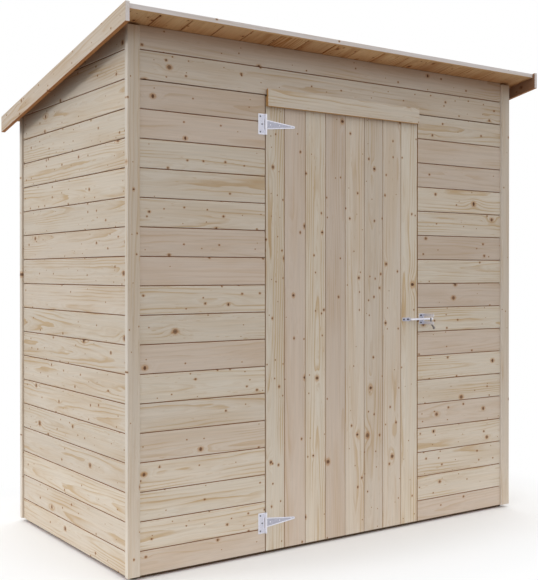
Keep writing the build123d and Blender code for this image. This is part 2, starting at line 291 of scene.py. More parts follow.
def spruce(name, cream, rose, honey=PLAIN_HONEY, streaks=0.8, mottle=0.25, knots=1.0, eaves_shade=None):
    """Planed, untreated spruce: growth rings of the log that the board was sawn from, fibres and knots.
    Where the roof overhangs it, the wood is darkened as painted shade."""
    material, tree, shader = new_material(name)
    log_at = attribute(tree, "log_at", "Vector")
    tone, lift, knotty = split_xyz(tree, attribute(tree, "board_lot", "Vector"))
    stain = attribute(tree, "stain", "Fac")
    along, aside, deep = split_xyz(tree, log_at)

    # Knots, large and small, the small ones fewer on rose boards
    big_share = calc(tree, "MULTIPLY", knotty, 0.42 * knots)
    small_share = calc(tree, "MULTIPLY_ADD", tone, -0.26 * knots, 0.42 * knots)
    small_share = calc(tree, "MULTIPLY", knotty, small_share)
    big = knot_field(tree, along, aside, (0.30, 0.070), big_share,
                     smallest=0.0042, largest=0.0100, turn=3.7)
    small = knot_field(tree, along, aside, (0.085, 0.038), small_share,
                       smallest=0.0015, largest=0.0044, turn=11.3)

    # Growth rings, which swell round a large knot
    wander = grain(tree, log_at, (1.3, 9.0, 9.0), 3.0)
    ripple = grain(tree, log_at, (7.0, 46.0, 46.0), 2.0)
    off_along, off_aside, radius, there, _ = big
    apart = round_from(tree, off_along, off_aside, radius, 0.42)
    bulge = calc(tree, "EXPONENT", calc(tree, "MULTIPLY", calc(tree, "MULTIPLY", apart, apart), -0.22))
    swell = calc(tree, "MULTIPLY", calc(tree, "MULTIPLY", bulge, radius), calc(tree, "MULTIPLY", there, 1.5))
    ring = hypotenuse(tree, aside, deep)
    ring = calc(tree, "ADD", calc(tree, "MULTIPLY_ADD", wander, 0.036, ring), swell)
    ring = calc(tree, "MULTIPLY_ADD", ripple, 0.0050, ring)
    broad = calc(tree, "FRACT", calc(tree, "DIVIDE", ring, BROAD_RING))
    broad = calc(tree, "MULTIPLY", rise(tree, broad, 0.45, 0.92), rise(tree, broad, 1.0, 0.95))
    fine = calc(tree, "FRACT", calc(tree, "DIVIDE", ring, FINE_RING))
    fine = calc(tree, "MULTIPLY", rise(tree, fine, 0.25, 0.90), rise(tree, fine, 1.0, 0.92))
    patchy = rise(tree, grain(tree, log_at, (2.1, 17.0, 17.0), 3.0), 0.42, 0.62)
    late = calc(tree, "MULTIPLY_ADD", broad, calc(tree, "MULTIPLY_ADD", patchy, 0.92, 0.08),
                calc(tree, "MULTIPLY", fine, 0.20), clamp=True)

    # Fibres, drawn streaks, short dashes and slow clouds of colour
    fibre = grain(tree, log_at, (9.0, 520.0, 520.0), 3.0, 0.6)
    drawn = grain(tree, log_at, (2.6, 130.0, 130.0), 3.0, 0.6)
    cloud = grain(tree, log_at, (2.2, 16.0, 16.0), 2.0)
    dash = rise(tree, grain(tree, log_at, (24.0, 170.0, 170.0), 2.0), 0.60, 0.72)
    dash = calc(tree, "MULTIPLY", dash, rise(tree, grain(tree, log_at, (3.4, 24.0, 24.0), 1.0), 0.48, 0.62))

    ground = tint(tree, tone, cream, rose)
    ground = stained(tree, calc(tree, "MULTIPLY", rise(tree, cloud, 0.42, 0.72), mottle), ground, honey)
    shade = calc(tree, "MULTIPLY_ADD", fibre, 0.16, calc(tree, "MULTIPLY_ADD", drawn, 0.22, lift))
    ground = tint(tree, 1.0, ground, join_xyz(tree, shade, shade, shade), "MULTIPLY")
    streak = calc(tree, "MAXIMUM", late, calc(tree, "MULTIPLY", dash, 0.8))
    streak = calc(tree, "MULTIPLY", streak, calc(tree, "MULTIPLY_ADD", tone, -0.62 * streaks, streaks))
    colour = stained(tree, streak, ground, honey)

    # Each knot has a warm halo, a dark middle and, by its lot, a dark ring of bark
    ragged = calc(tree, "MULTIPLY_ADD", grain(tree, log_at, (150.0, 190.0, 0.0), 2.0, 0.6), 0.7, 0.65)
    for (off_along, off_aside, radius, there, lot), dark, ruddy in (
            (big, (0.060, 0.026, 0.016, 1.0), (0.21, 0.087, 0.036, 1.0)),
            (small, (0.075, 0.030, 0.016, 1.0), (0.235, 0.100, 0.040, 1.0))):
        apart = calc(tree, "MULTIPLY", ragged, round_from(tree, off_along, off_aside, radius, 0.75))
        halo = calc(tree, "MULTIPLY", rise(tree, apart, 2.0, 0.9), calc(tree, "MULTIPLY", there, 0.70))
        colour = stained(tree, halo, colour, KNOT_HALO)
        apart = round_from(tree, off_along, off_aside, radius, calc(tree, "MULTIPLY_ADD", lot, 0.6, 0.85))
        apart = calc(tree, "MULTIPLY", ragged, apart)
        within = tint(tree, rise(tree, apart, 0.25, 0.85), dark, ruddy)
        bark = calc(tree, "MULTIPLY", rise(tree, apart, 0.60, 0.88), lot)
        within = tint(tree, bark, within, dark)
        heart = calc(tree, "MULTIPLY", rise(tree, apart, 1.12, 0.84), there)
        heart = calc(tree, "MULTIPLY", heart, calc(tree, "MULTIPLY_ADD", lot, 0.30, 0.70))
        colour = tint(tree, heart, colour, within)

    # Painted shade close under the roof
    if eaves_shade:
        colour = stained(tree, eaves_shade(tree), colour, EAVES_SHADE)
    colour = stained(tree, rise(tree, stain, 0.0, HONEYED), colour, SAWN_EDGE)
    colour = stained(tree, rise(tree, stain, HONEYED, 1.0), colour, JOINT_SIDE)
    tree.links.new(colour, shader.inputs["Base Color"])

    tree.links.new(calc(tree, "MULTIPLY_ADD", fibre, 0.22, 0.50), shader.inputs["Roughness"])
    shader.inputs["Specular IOR Level"].default_value = 0.15
    add_bump(tree, shader, calc(tree, "MULTIPLY_ADD", late, -0.5, fibre), strength=0.22, distance=0.0006)
    return material


def zinc(name, bright, dull, rough):
    """Zinc plating: faint crystal bloom, drawn streaks and small scuffs."""
    material, tree, shader = new_material(name)
    place = object_place(tree)
    bloom = noise(tree, place, 210.0, 3.0, 0.6)
    drawn = grain(tree, place, (40.0, 40.0, 900.0), 2.0)
    scuff = rise(tree, noise(tree, place, 620.0, 2.0, 0.7), 0.60, 0.78)
    colour = tint(tree, rise(tree, bloom, 0.30, 0.70), dull, bright)
    colour = stained(tree, calc(tree, "MULTIPLY", scuff, 0.25), colour, (0.7, 0.7, 0.7, 1.0))
    tree.links.new(colour, shader.inputs["Base Color"])
    shader.inputs["Metallic"].default_value = 0.85
    tree.links.new(calc(tree, "MULTIPLY_ADD", drawn, 0.16, rough), shader.inputs["Roughness"])
    add_bump(tree, shader, bloom, strength=0.15, distance=0.0003)
    return material


# Wall and trim spruce take painted shade close under the roof
WALL_SPRUCE = spruce("wall_spruce", (0.652, 0.582, 0.490, 1.0), (0.580, 0.480, 0.398, 1.0),
                     eaves_shade=shade_under_roof)
EDGE_SPRUCE = spruce("edge_spruce", (0.615, 0.532, 0.441, 1.0), (0.545, 0.460, 0.390, 1.0))
# Dark spruce for the barges' inner faces, as painted shade
SHADED_SPRUCE = spruce("shaded_spruce", (0.270, 0.150, 0.088, 1.0), (0.245, 0.133, 0.077, 1.0))
# Paler spruce for the roof's edge strips and the barges' ends, its paleness painted sky light
SKYLIT_PALE_SPRUCE = spruce("skylit_pale_spruce", (0.745, 0.692, 0.672, 1.0), (0.690, 0.620, 0.590, 1.0),
                     (0.88, 0.82, 0.74, 1.0))
TRIM_SPRUCE = spruce("trim_spruce", (0.607, 0.528, 0.440, 1.0), (0.555, 0.467, 0.392, 1.0),
                     TRIM_HONEY, streaks=0.6, eaves_shade=shade_under_roof)
# A paler copy of the trim spruce for the trims' side faces, as painted light
TRIM_SIDE_LIGHT_SPRUCE = spruce("trim_side_light_spruce", (0.700, 0.645, 0.575, 1.0), (0.640, 0.570, 0.500, 1.0),
                          TRIM_HONEY, streaks=0.6, eaves_shade=shade_under_roof)
# The roof boards' orange-brown is partly the wood's own colour and partly painted shade and warm bounce
# light; it darkens further behind the eaves as painted shade
ROOF_SPRUCE_AND_SHADE = spruce("roof_spruce_and_shade", (0.700, 0.465, 0.250, 1.0), (0.590, 0.360, 0.185, 1.0),
                     (0.66, 0.45, 0.26, 1.0), streaks=1.0, mottle=0.6, knots=1.5, eaves_shade=shade_behind_eaves)
FRAME_SPRUCE = spruce("frame_spruce", (0.620, 0.520, 0.400, 1.0), (0.540, 0.430, 0.340, 1.0))
# Dark brown spruce for the floor's bearers, its darkness painted shade under the walls
BEARER_SHADE_SPRUCE = spruce("bearer_shade_spruce", (0.120, 0.080, 0.050, 1.0), (0.095, 0.062, 0.040, 1.0),
                     (0.70, 0.58, 0.46, 1.0))
BRIGHT_ZINC = zinc("bright_zinc", (0.84, 0.84, 0.91, 1.0), (0.74, 0.74, 0.82, 1.0), 0.34)
# Darker copies of the zinc for the fittings' sunk middles and flat fronts, as painted shade; the satin one
# also plates the roof screws
SATIN_AND_SHADED_ZINC = zinc("satin_and_shaded_zinc", (0.70, 0.70, 0.79, 1.0), (0.61, 0.61, 0.70, 1.0), 0.40)
SHADED_PRESSED_ZINC = zinc("shaded_pressed_zinc", (0.52, 0.52, 0.60, 1.0), (0.44, 0.44, 0.52, 1.0), 0.46)
LEVER_ZINC = zinc("lever_zinc", (0.36, 0.35, 0.36, 1.0), (0.28, 0.27, 0.28, 1.0), 0.42)
# Near-black platings for screw heads, standing in for the shade in their cross recesses
DARK_ZINC = zinc("dark_zinc", (0.20, 0.205, 0.225, 1.0), (0.14, 0.145, 0.16, 1.0), 0.42)
DARK_STEEL_AND_SHADE = zinc("dark_steel_and_shade", (0.070, 0.070, 0.074, 1.0), (0.045, 0.045, 0.048, 1.0), 0.55)


# Mesh helpers

def mesh_from(name, bm):
    """The drawn shape as a mesh."""
    mesh = bpy.data.meshes.new(name)
    bm.to_mesh(mesh)
    bm.free()
    return mesh


def placed(name, data):
    """A new object in the scene."""
    thing = bpy.data.objects.new(name, data)
    bpy.context.scene.collection.objects.link(thing)
    return thing


def piece_of(name, mesh, material, body, slot, *stands_for, smooth=False):
    """A piece that rides on a body, in the place of the solids that it stands for, if any."""
    if smooth:
        mesh.polygons.foreach_set("use_smooth", [True] * len(mesh.polygons))
        mesh.set_sharp_from_angle(angle=math.radians(32))
    if len(mesh.materials):
        mesh.materials.clear()
    mesh.materials.append(material)
    piece = placed(name, mesh)
    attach(piece, body)
    if stands_for:
        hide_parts(*stands_for)
    return piece


def face_with(piece, material, wanted):
    """Gives a further material to the faces that are wanted."""
    materials = piece.data.materials
    materials.append(material)
    for face in piece.data.polygons:
        if wanted(face):
            face.material_index = len(materials) - 1


def islands_of(mesh):
    """The separate boards or sticks of a mesh, each with its middle and its points, in order of place."""
    parent = list(range(len(mesh.vertices)))

    def root(index):
        while parent[index] != index:
            parent[index] = parent[parent[index]]
            index = parent[index]
        return index

    for edge in mesh.edges:
        a, b = root(edge.vertices[0]), root(edge.vertices[1])
        if a != b:
            parent[a] = b
    groups = {}
    for index in range(len(mesh.vertices)):
        groups.setdefault(root(index), []).append(index)
    boards = []
    for members in groups.values():
        places = [mesh.vertices[i].co for i in members]
        low = Vector([min(p[k] for p in places) for k in range(3)])
        high = Vector([max(p[k] for p in places) for k in range(3)])
        boards.append(((low + high) / 2, members))
    boards.sort(key=lambda board: (round(board[0].z, 3), round(board[0].x, 3), round(board[0].y, 3)))
    return boards


def saw_from_logs(mesh, along, face, seed, rosy=0.3, tones=None):
    """Gives every board the place in a log that it was sawn from, and its tone from cream, 0, to rose, 1."""
    luck = random.Random(seed)
    aside = face.cross(along).normalized()
    log_at = [0.0] * (3 * len(mesh.vertices))
    board_lot = [0.0] * (3 * len(mesh.vertices))
    for number, (middle, members) in enumerate(islands_of(mesh)):
        start = luck.uniform(0.0, 40.0)
        sideways = luck.uniform(-0.040, 0.040)
        depth = luck.choice((-1, 1)) * luck.uniform(0.018, 0.075)
        tilt = luck.uniform(-0.026, 0.026)
        sway = luck.uniform(-0.010, 0.010)
        draw = luck.random()
        hue = luck.uniform(0.75, 1.0) if draw < rosy else luck.uniform(0.0, 0.28)
        lift = luck.uniform(0.77, 0.85)
        knotty = luck.uniform(0.35, 1.45)
        if tones is not None:
            hue = min(1.0, max(0.0, tones[number % len(tones)] + luck.uniform(-0.08, 0.08)))
        for index in members:
            offset = mesh.vertices[index].co - middle
            length = offset.dot(along)
            log_at[3 * index] = start + length
            log_at[3 * index + 1] = sideways + offset.dot(aside) + sway * length
            log_at[3 * index + 2] = depth + offset.dot(face) + tilt * length
            board_lot[3 * index:3 * index + 3] = hue, lift, knotty
    mesh.attributes.new("log_at", "FLOAT_VECTOR", "POINT").data.foreach_set("vector", log_at)
    mesh.attributes.new("board_lot", "FLOAT_VECTOR", "POINT").data.foreach_set("vector", board_lot)


def stain_faces(mesh, amount_of):
    """Sets how far each face is darkened, from 0 for planed wood to 1 for the inside of a joint."""
    amounts = [amount_of(face) for face in mesh.polygons]
    mesh.attributes.new("stain", "FLOAT", "FACE").data.foreach_set("value", amounts)


def eased_copy(node, weld, flat, sharp, edge, segments):
    """A copy of a solid's mesh without materials, and its shape with rounded edges: points within the weld
    distance are one, faces within the flat angle are one, and edges over the sharp angle are rounded, with
    both angles in degrees."""
    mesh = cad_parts[node].data.copy()
    mesh.materials.clear()
    if "custom_normal" in mesh.attributes:
        mesh.attributes.remove(mesh.attributes["custom_normal"])
    bm = bmesh.new()
    bm.from_mesh(mesh)
    bmesh.ops.remove_doubles(bm, verts=bm.verts, dist=weld)
    bmesh.ops.dissolve_limit(bm, angle_limit=math.radians(flat), verts=bm.verts, edges=bm.edges)
    corners = [e for e in bm.edges if len(e.link_faces) == 2 and e.calc_face_angle(0.0) > math.radians(sharp)]
    bmesh.ops.bevel(bm, geom=corners, offset=edge, segments=segments, affect="EDGES", profile=0.5,
                    clamp_overlap=True)
    bmesh.ops.remove_doubles(bm, verts=bm.verts, dist=MERGE_DISTANCE)
    bmesh.ops.dissolve_degenerate(bm, edges=bm.edges, dist=MERGE_DISTANCE)
    bmesh.ops.recalc_face_normals(bm, faces=bm.faces)
    return mesh, bm


def soften(name, node, along, face, seed, material, body, edge=0.0016, rosy=0.0, honeyed=()):
    """A sawn stick in the place of its solid, with eased edges and its own grain; faces that look one of the
    honeyed ways are stained by the amount given with it."""
    mesh, bm = eased_copy(node, weld=MERGE_DISTANCE, flat=0.6, sharp=25, edge=edge, segments=3)
    bm.to_mesh(mesh)
    bm.free()
    saw_from_logs(mesh, along, face, seed, rosy)

    def honey_on(face):
        return max([0.0] + [amount for way, amount in honeyed if face.normal.dot(way) > MAINLY])

    stain_faces(mesh, honey_on)
    mesh.name = name
    return piece_of(name, mesh, material, body, "spruce", node)


# Geometry Nodes helpers

def node_group(name, inputs, output):
    """An empty group: its tree, its inputs' identifiers by label, and the inner sides of its two ends."""
    tree = bpy.data.node_groups.new(name, "GeometryNodeTree")
    sockets = {}
    for label, kind in inputs:
        made = tree.interface.new_socket(name=label, in_out="INPUT", socket_type="NodeSocket" + kind)
        sockets[label] = made.identifier
    tree.interface.new_socket(name=output, in_out="OUTPUT", socket_type="NodeSocketGeometry")
    given = tree.nodes.new("NodeGroupInput").outputs
    result = tree.nodes.new("NodeGroupOutput").inputs[0]
    return tree, sockets, given, result


def random_between(tree, low, high, seed):
    luck = tree.nodes.new("FunctionNodeRandomValue")
    luck.data_type = "FLOAT"
    luck.inputs[2].default_value = low
    luck.inputs[3].default_value = high
    tree.links.new(seed, luck.inputs["Seed"])
    return luck.outputs[1]


def make_real(tree, instances, material, result):
    """Ends a group with its instances as one mesh in one material."""
    real = tree.nodes.new("GeometryNodeRealizeInstances")
    tree.links.new(instances, real.inputs["Geometry"])
    faced = tree.nodes.new("GeometryNodeSetMaterial")
    tree.links.new(real.outputs["Geometry"], faced.inputs["Geometry"])
    tree.links.new(material, faced.inputs["Material"])
    tree.links.new(faced.outputs["Geometry"], result)


def grown_from(name, start, group, sockets, values):
    """What a group makes of a starting mesh, as a plain mesh; the object that carried the group goes."""
    carrier = placed(name + "_carrier", start)
    modifier = carrier.modifiers.new("grown", "NODES")
    modifier.node_group = group
    for label, value in values.items():
        modifier[sockets[label]] = value
    graph = bpy.context.evaluated_depsgraph_get()
    mesh = bpy.data.meshes.new_from_object(carrier.evaluated_get(graph))
    carrier.modifiers.remove(modifier)
    bpy.data.objects.remove(carrier)
    return mesh


# A stack of tongue-and-groove boards from one board's section

def board_stack_tree():
    tree, sockets, given, result = node_group(
        "tongue_and_groove_boards",
        (("Section", "Geometry"), ("Run", "Vector"), ("Step", "Vector"), ("Count", "Int"), ("Slip", "Vector"),
         ("Seed", "Int"), ("Wood", "Material")), "Boards")

    draw_out = tree.nodes.new("GeometryNodeExtrudeMesh")
    draw_out.mode = "FACES"
    draw_out.inputs["Offset Scale"].default_value = 1.0
    tree.links.new(given["Section"], draw_out.inputs["Mesh"])
    tree.links.new(given["Run"], draw_out.inputs["Offset"])
    other_end = tree.nodes.new("GeometryNodeFlipFaces")
    tree.links.new(given["Section"], other_end.inputs["Mesh"])
    both = tree.nodes.new("GeometryNodeJoinGeometry")
    tree.links.new(draw_out.outputs["Mesh"], both.inputs[0])
    tree.links.new(other_end.outputs["Mesh"], both.inputs[0])
    board = tree.nodes.new("GeometryNodeMergeByDistance")
    board.inputs["Distance"].default_value = MERGE_DISTANCE
    tree.links.new(both.outputs[0], board.inputs["Geometry"])

    rows = tree.nodes.new("GeometryNodeMeshLine")
    rows.mode = "OFFSET"
    tree.links.new(given["Count"], rows.inputs["Count"])
    tree.links.new(given["Step"], rows.inputs["Offset"])
    laid = tree.nodes.new("GeometryNodeInstanceOnPoints")
    tree.links.new(rows.outputs["Mesh"], laid.inputs["Points"])
    tree.links.new(board.outputs["Geometry"], laid.inputs["Instance"])
    slip = tree.nodes.new("ShaderNodeVectorMath")
    slip.operation = "SCALE"
    tree.links.new(given["Slip"], slip.inputs[0])
    tree.links.new(random_between(tree, -1.0, 1.0, given["Seed"]), slip.inputs["Scale"])
    moved = tree.nodes.new("GeometryNodeTranslateInstances")
    tree.links.new(laid.outputs["Instances"], moved.inputs["Instances"])
    tree.links.new(slip.outputs[0], moved.inputs["Translation"])
    make_real(tree, moved.outputs["Instances"], given["Wood"], result)
    return tree, sockets


BOARD_STACK, BOARD_SOCKETS = board_stack_tree()


def board_section(first, across, inward, cover, thickness, gap, both_faces):
    """One board's section as a single face: eased edges, a tongue on one side and a groove on the other."""
    near = gap / 2
    far = cover - near
    ease = BOARD_CHAMFER
    rear = ease if both_faces else REAR_CHAMFER
    tongue_front, tongue_rear = 0.38 * thickness, 0.64 * thickness
    tongue_tip = cover + near + TONGUE_LENGTH
    groove_end = near + TONGUE_LENGTH + GROOVE_SPARE
    outline = (
        (near + ease, 0.0), (far - ease, 0.0), (far, ease), (far, tongue_front),
        (tongue_tip, tongue_front), (tongue_tip, tongue_rear), (far, tongue_rear),
        (far, thickness - rear), (far - rear, thickness), (near + rear, thickness),
        (near, thickness - rear), (near, tongue_rear + TONGUE_PLAY), (groove_end, tongue_rear + TONGUE_PLAY),
        (groove_end, tongue_front - TONGUE_PLAY), (near, tongue_front - TONGUE_PLAY), (near, ease))
    bm = bmesh.new()
    bm.faces.new([bm.verts.new(first + across * u + inward * d) for u, d in outline])
    return mesh_from("section", bm)


def lay_boards(name, node, first, across, inward, run, cover, count, thickness, cuts, seed, material, body,
               rosy=0.3, tones=None, gap=BOARD_GAP, joint=1.0, sawn=1.0, both_faces=False):
    """A stack of boards from first on, each run long, cut off on the far side of every cut; joint and sawn
    are the stains of the faces in a joint and along a cut."""
    section = board_section(first, across, inward, cover, thickness, gap, both_faces)
    mesh = grown_from(name, section, BOARD_STACK, BOARD_SOCKETS, {
        "Run": run, "Step": across * cover, "Count": count, "Slip": inward * BOARD_SLIP, "Seed": seed,
        "Wood": material})
    bm = bmesh.new()
    bm.from_mesh(mesh)
    for point, outward in cuts:
        cut = bmesh.ops.bisect_plane(bm, geom=bm.verts[:] + bm.edges[:] + bm.faces[:], dist=FINE_DISTANCE,
                                     plane_co=point, plane_no=outward, clear_outer=True)
        rim = [e for e in cut["geom_cut"] if isinstance(e, bmesh.types.BMEdge)]
        bmesh.ops.edgeloop_fill(bm, edges=rim)
    bmesh.ops.recalc_face_normals(bm, faces=bm.faces)
    bm.to_mesh(mesh)
    bm.free()
    along = run.normalized()
    saw_from_logs(mesh, along, -inward, seed, rosy, tones)

    def joint_shade(face):
        if abs(face.normal.dot(along)) > ROUGHLY:
            return END_GRAIN
        depth = (face.center - first).dot(inward)
        if not BOARD_CHAMFER < depth < thickness - BOARD_CHAMFER:
            return 0.0
        at_cut = any(abs((face.center - point).dot(outward)) < AT_CUT for point, outward in cuts)
        return sawn if at_cut else joint

    stain_faces(mesh, joint_shade)
    return piece_of(name, mesh, material, body, "spruce", node)


# Walls

def clad(name, node, first, inward, run, cuts, seed, rows=CLADDING_ROWS, rosy=0.3, tones=None):
    """Wall boards from the bottom up in the place of a wall's panel."""
    lay_boards(name, node, Vector(first), UP, inward, run, CLADDING_COVER, rows, CLADDING_THICKNESS, cuts,
               seed, WALL_SPRUCE, "shed", rosy, tones)


sole = (Vector((0, 0, left_low.z)), -UP)
under_header = (Vector((0, 0, header_low.z - HEADER_PLAY)), UP)
under_soffit = (SOFFIT_FRONT - ROOF_UP * SOFFIT_PLAY, ROOF_UP)

clad("front_boards_left", "front_wall_left",
     (front_left_low.x + END_PLAY, front_left_low.y, CLADDING_FIRST), BACK,
     ACROSS * (front_left_high.x - front_left_low.x - END_PLAY), [sole, under_header], 11,
     tones=LEFT_OF_DOOR_TONES)
clad("front_boards_right", "front_wall_right", (front_right_low.x, front_right_low.y, CLADDING_FIRST), BACK,
     ACROSS * (front_right_high.x - front_right_low.x), [sole, under_header], 12, tones=RIGHT_OF_DOOR_TONES)
clad("front_boards_over_door", "front_wall_header",
     (header_low.x + END_PLAY, header_low.y, header_low.z), BACK,
     ACROSS * (header_high.x - header_low.x - END_PLAY), [under_soffit], 13, HEADER_ROWS,
     tones=OVER_DOOR_TONES)
clad("left_boards", "left_wall", (left_low.x, left_low.y + END_PLAY, CLADDING_FIRST), ACROSS,
     BACK * (left_high.y - left_low.y - 2 * END_PLAY), [sole, under_soffit], 14, rosy=0.0)
clad("right_boards", "right_wall", (right_high.x, right_low.y + END_PLAY, CLADDING_FIRST), -ACROSS,
     BACK * (right_high.y - right_low.y - 2 * END_PLAY), [sole, under_soffit], 15)
clad("back_boards", "back_wall", (back_low.x + END_PLAY, back_high.y, CLADDING_FIRST), -BACK,
     ACROSS * (back_high.x - back_low.x - 2 * END_PLAY), [sole, under_soffit], 16)


# Roof, floor and door

def cuts_across(low, high):
    return [(Vector((low.x, 0, 0)), -ACROSS), (Vector((high.x, 0, 0)), ACROSS)]


def cuts_back(low, high):
    return [(Vector((0, low.y, 0)), -BACK), (Vector((0, high.y, 0)), BACK)]


deck_front_height = SOFFIT_FRONT.z + (front_left_low.y - deck_low.y) * math.tan(ROOF_SLOPE)
deck_front = Vector((DECK_FIRST, deck_low.y, deck_front_height))
deck_run = (deck_high.y - deck_low.y) / math.cos(ROOF_SLOPE) + 2 * DECK_OVERRUN
roof = lay_boards("roof_boards", "roof_deck", deck_front - DOWN_ROOF * DECK_OVERRUN, ACROSS, ROOF_UP,
                  DOWN_ROOF * deck_run, DECK_COVER, DECK_BOARDS, DECK_THICKNESS,
                  cuts_back(deck_low, deck_high) + cuts_across(deck_low, deck_high), 21, ROOF_SPRUCE_AND_SHADE, "shed",
                  both_faces=True)
# The boards' tops take the paler frame spruce, so the deeper colour below is partly painted shade
face_with(roof, FRAME_SPRUCE, lambda f: f.normal.dot(ROOF_UP) > ROUGHLY)
lay_boards("floor_boards", "floor_panel", Vector((floor_low.x, floor_low.y - FLOOR_LEAD, floor_high.z)),
           BACK, -UP, ACROSS * (floor_high.x - floor_low.x), FLOOR_COVER, FLOOR_BOARDS,
           floor_high.z - floor_low.z, cuts_back(floor_low, floor_high), 22, FRAME_SPRUCE, "shed", sawn=0.15)
lay_boards("door_planks", "door_boards", Vector((DOOR_FIRST, door_low.y, door_low.z)), ACROSS, BACK,
           UP * (door_high.z - door_low.z), DOOR_COVER, DOOR_PLANKS, door_high.y - door_low.y,
           cuts_across(door_low, door_high), 31, WALL_SPRUCE, "door",
           tones=DOOR_TONES, gap=PLANK_GAP, joint=0.6, sawn=0.25)

# Sticks

trims = soften("corner_trim", "corner_trims", UP, -BACK, 41, TRIM_SPRUCE, "shed", edge=0.0040)
# Side faces in the paler copy, as painted light
face_with(trims, TRIM_SIDE_LIGHT_SPRUCE, lambda f: abs(f.normal.dot(ACROSS)) > MAINLY)
# Its underside is honeyed as painted shade and warm bounce light, its ends as end grain
soften("door_head_trim", "door_head_strip", ACROSS, -BACK, 42, WALL_SPRUCE, "door", edge=0.0012,
       honeyed=((-UP, HONEYED), (ACROSS, HONEYED), (-ACROSS, HONEYED)))
# The roof's edge strips: pale spruce as painted sky light, undersides honeyed as painted shade and warm
# bounce light
soften("front_roof_strip", "front_edge_strip", ACROSS, -BACK, 43, SKYLIT_PALE_SPRUCE, "shed", edge=0.0010,
       honeyed=((-UP, HONEYED),))
soften("back_roof_strip", "back_edge_strip", ACROSS, BACK, 44, SKYLIT_PALE_SPRUCE, "shed", edge=0.0010,
       honeyed=((-UP, HONEYED),))
# The barges' undersides are stained as painted shade and warm bounce light
for name, node, outward, seed, rosy in (("left_barge", "left_bargeboard", -ACROSS, 45, 0.0),
                                        ("right_barge", "right_bargeboard", ACROSS, 46, 1.0)):
    barge = soften(name, node, DOWN_ROOF, outward, seed, EDGE_SPRUCE, "shed", edge=0.0012, rosy=rosy,
                   honeyed=((-UP, BARGE_UNDERSIDE_SHADE),))
    # Inner faces in the dark spruce, as painted shade
    face_with(barge, SHADED_SPRUCE, lambda f: f.normal.dot(outward) < -MAINLY)
    # Ends in the pale spruce, as painted sky light
    face_with(barge, SKYLIT_PALE_SPRUCE, lambda f: abs(f.normal.dot(BACK)) > NEARLY)

FIRST_FRAME_SEED = 60
BRACE_RUN = Vector((0.66, 0, 0.75)).normalized()
for seed, (name, node, along, face, wood, body) in enumerate((
        # Bearers in the dark spruce, as painted shade
        ("long_bearers", "floor_long_bearers", ACROSS, -BACK, BEARER_SHADE_SPRUCE, "shed"),
        ("cross_bearers", "floor_cross_bearers", BACK, UP, BEARER_SHADE_SPRUCE, "shed"),
        ("corner_uprights", "corner_posts", UP, -BACK, FRAME_SPRUCE, "shed"),
        ("front_rail", "front_top_rail", ACROSS, BACK, FRAME_SPRUCE, "shed"),
        ("back_rail", "back_top_rail", ACROSS, -BACK, FRAME_SPRUCE, "shed"),
        ("door_uprights", "door_posts", UP, -BACK, FRAME_SPRUCE, "shed"),
        ("door_head", "door_head_rail", ACROSS, -UP, FRAME_SPRUCE, "shed"),
        ("purlin", "roof_purlin", ACROSS, BACK, FRAME_SPRUCE, "shed"),
        ("studs", "wall_studs", UP, -BACK, FRAME_SPRUCE, "shed"),
        ("ledges", "door_ledges", ACROSS, BACK, FRAME_SPRUCE, "door"),
        ("braces", "door_braces", BRACE_RUN, BACK, FRAME_SPRUCE, "door")), FIRST_FRAME_SEED):
    soften(name, node, along, face, seed, wood, body, rosy=0.15)


# Ironmongery, in metres; the least areas of broad and flat faces in square metres

BROAD_FACE = 0.0012
FLAT_FACE = 0.0001
PRESS_RIM = 0.0036
PRESS_SLOPE = 0.0007
PRESS_DEPTH = 0.0009

HINGE_PIN = Vector((-0.4085, -0.521, 0.0))
HINGE_HEIGHTS = (0.130, 1.745)
STRAP_BACK = -0.516
STRAP_SHEET = 0.002
STRAP_START_X = HINGE_PIN.x + 0.0035
STRAP_ROOT = 0.0195
STRAP_TIP = 0.005
STRAP_TIP_X = -0.2665
TIP_TURNS_IN_DEGREES = range(-84, 85, 21)
KNUCKLE = 0.005
KNUCKLE_BORE = 0.0027
KNUCKLE_SIDES = 24


def sink_face(bm, face):
    """Leaves a raised rim round a face and marks its sunk middle with the second material, a darker zinc as
    painted shade.
    """
    bmesh.ops.inset_region(bm, faces=[face], thickness=PRESS_RIM, use_even_offset=True)
    bmesh.ops.inset_region(bm, faces=[face], thickness=PRESS_SLOPE, depth=-PRESS_DEPTH, use_even_offset=True)
    face.material_index = 1


def ease_metal(name, node, plating, body, pressed=None, flats=None):
    """A plated fitting in the place of its solid, its sharp edges rounded a little; with a pressed plating
    given, the broad faces to the front are sunk inside a rim and take that darker plating as painted shade,
    and flats is a darker plating of flat faces to the front, as painted shade."""
    mesh, bm = eased_copy(node, weld=FINE_DISTANCE, flat=0.5, sharp=40, edge=0.0004, segments=2)
    if pressed:
        for face in [f for f in bm.faces if -f.normal.y > EXACTLY and f.calc_area() > BROAD_FACE]:
            sink_face(bm, face)
    bm.to_mesh(mesh)
    bm.free()
    mesh.name = name
    piece = piece_of(name, mesh, plating, body, "zinc", node, smooth=True)
    if pressed:
        mesh.materials.append(pressed)
    if flats:
        face_with(piece, flats, lambda f: -f.normal.y > EXACTLY and f.area > FLAT_FACE)


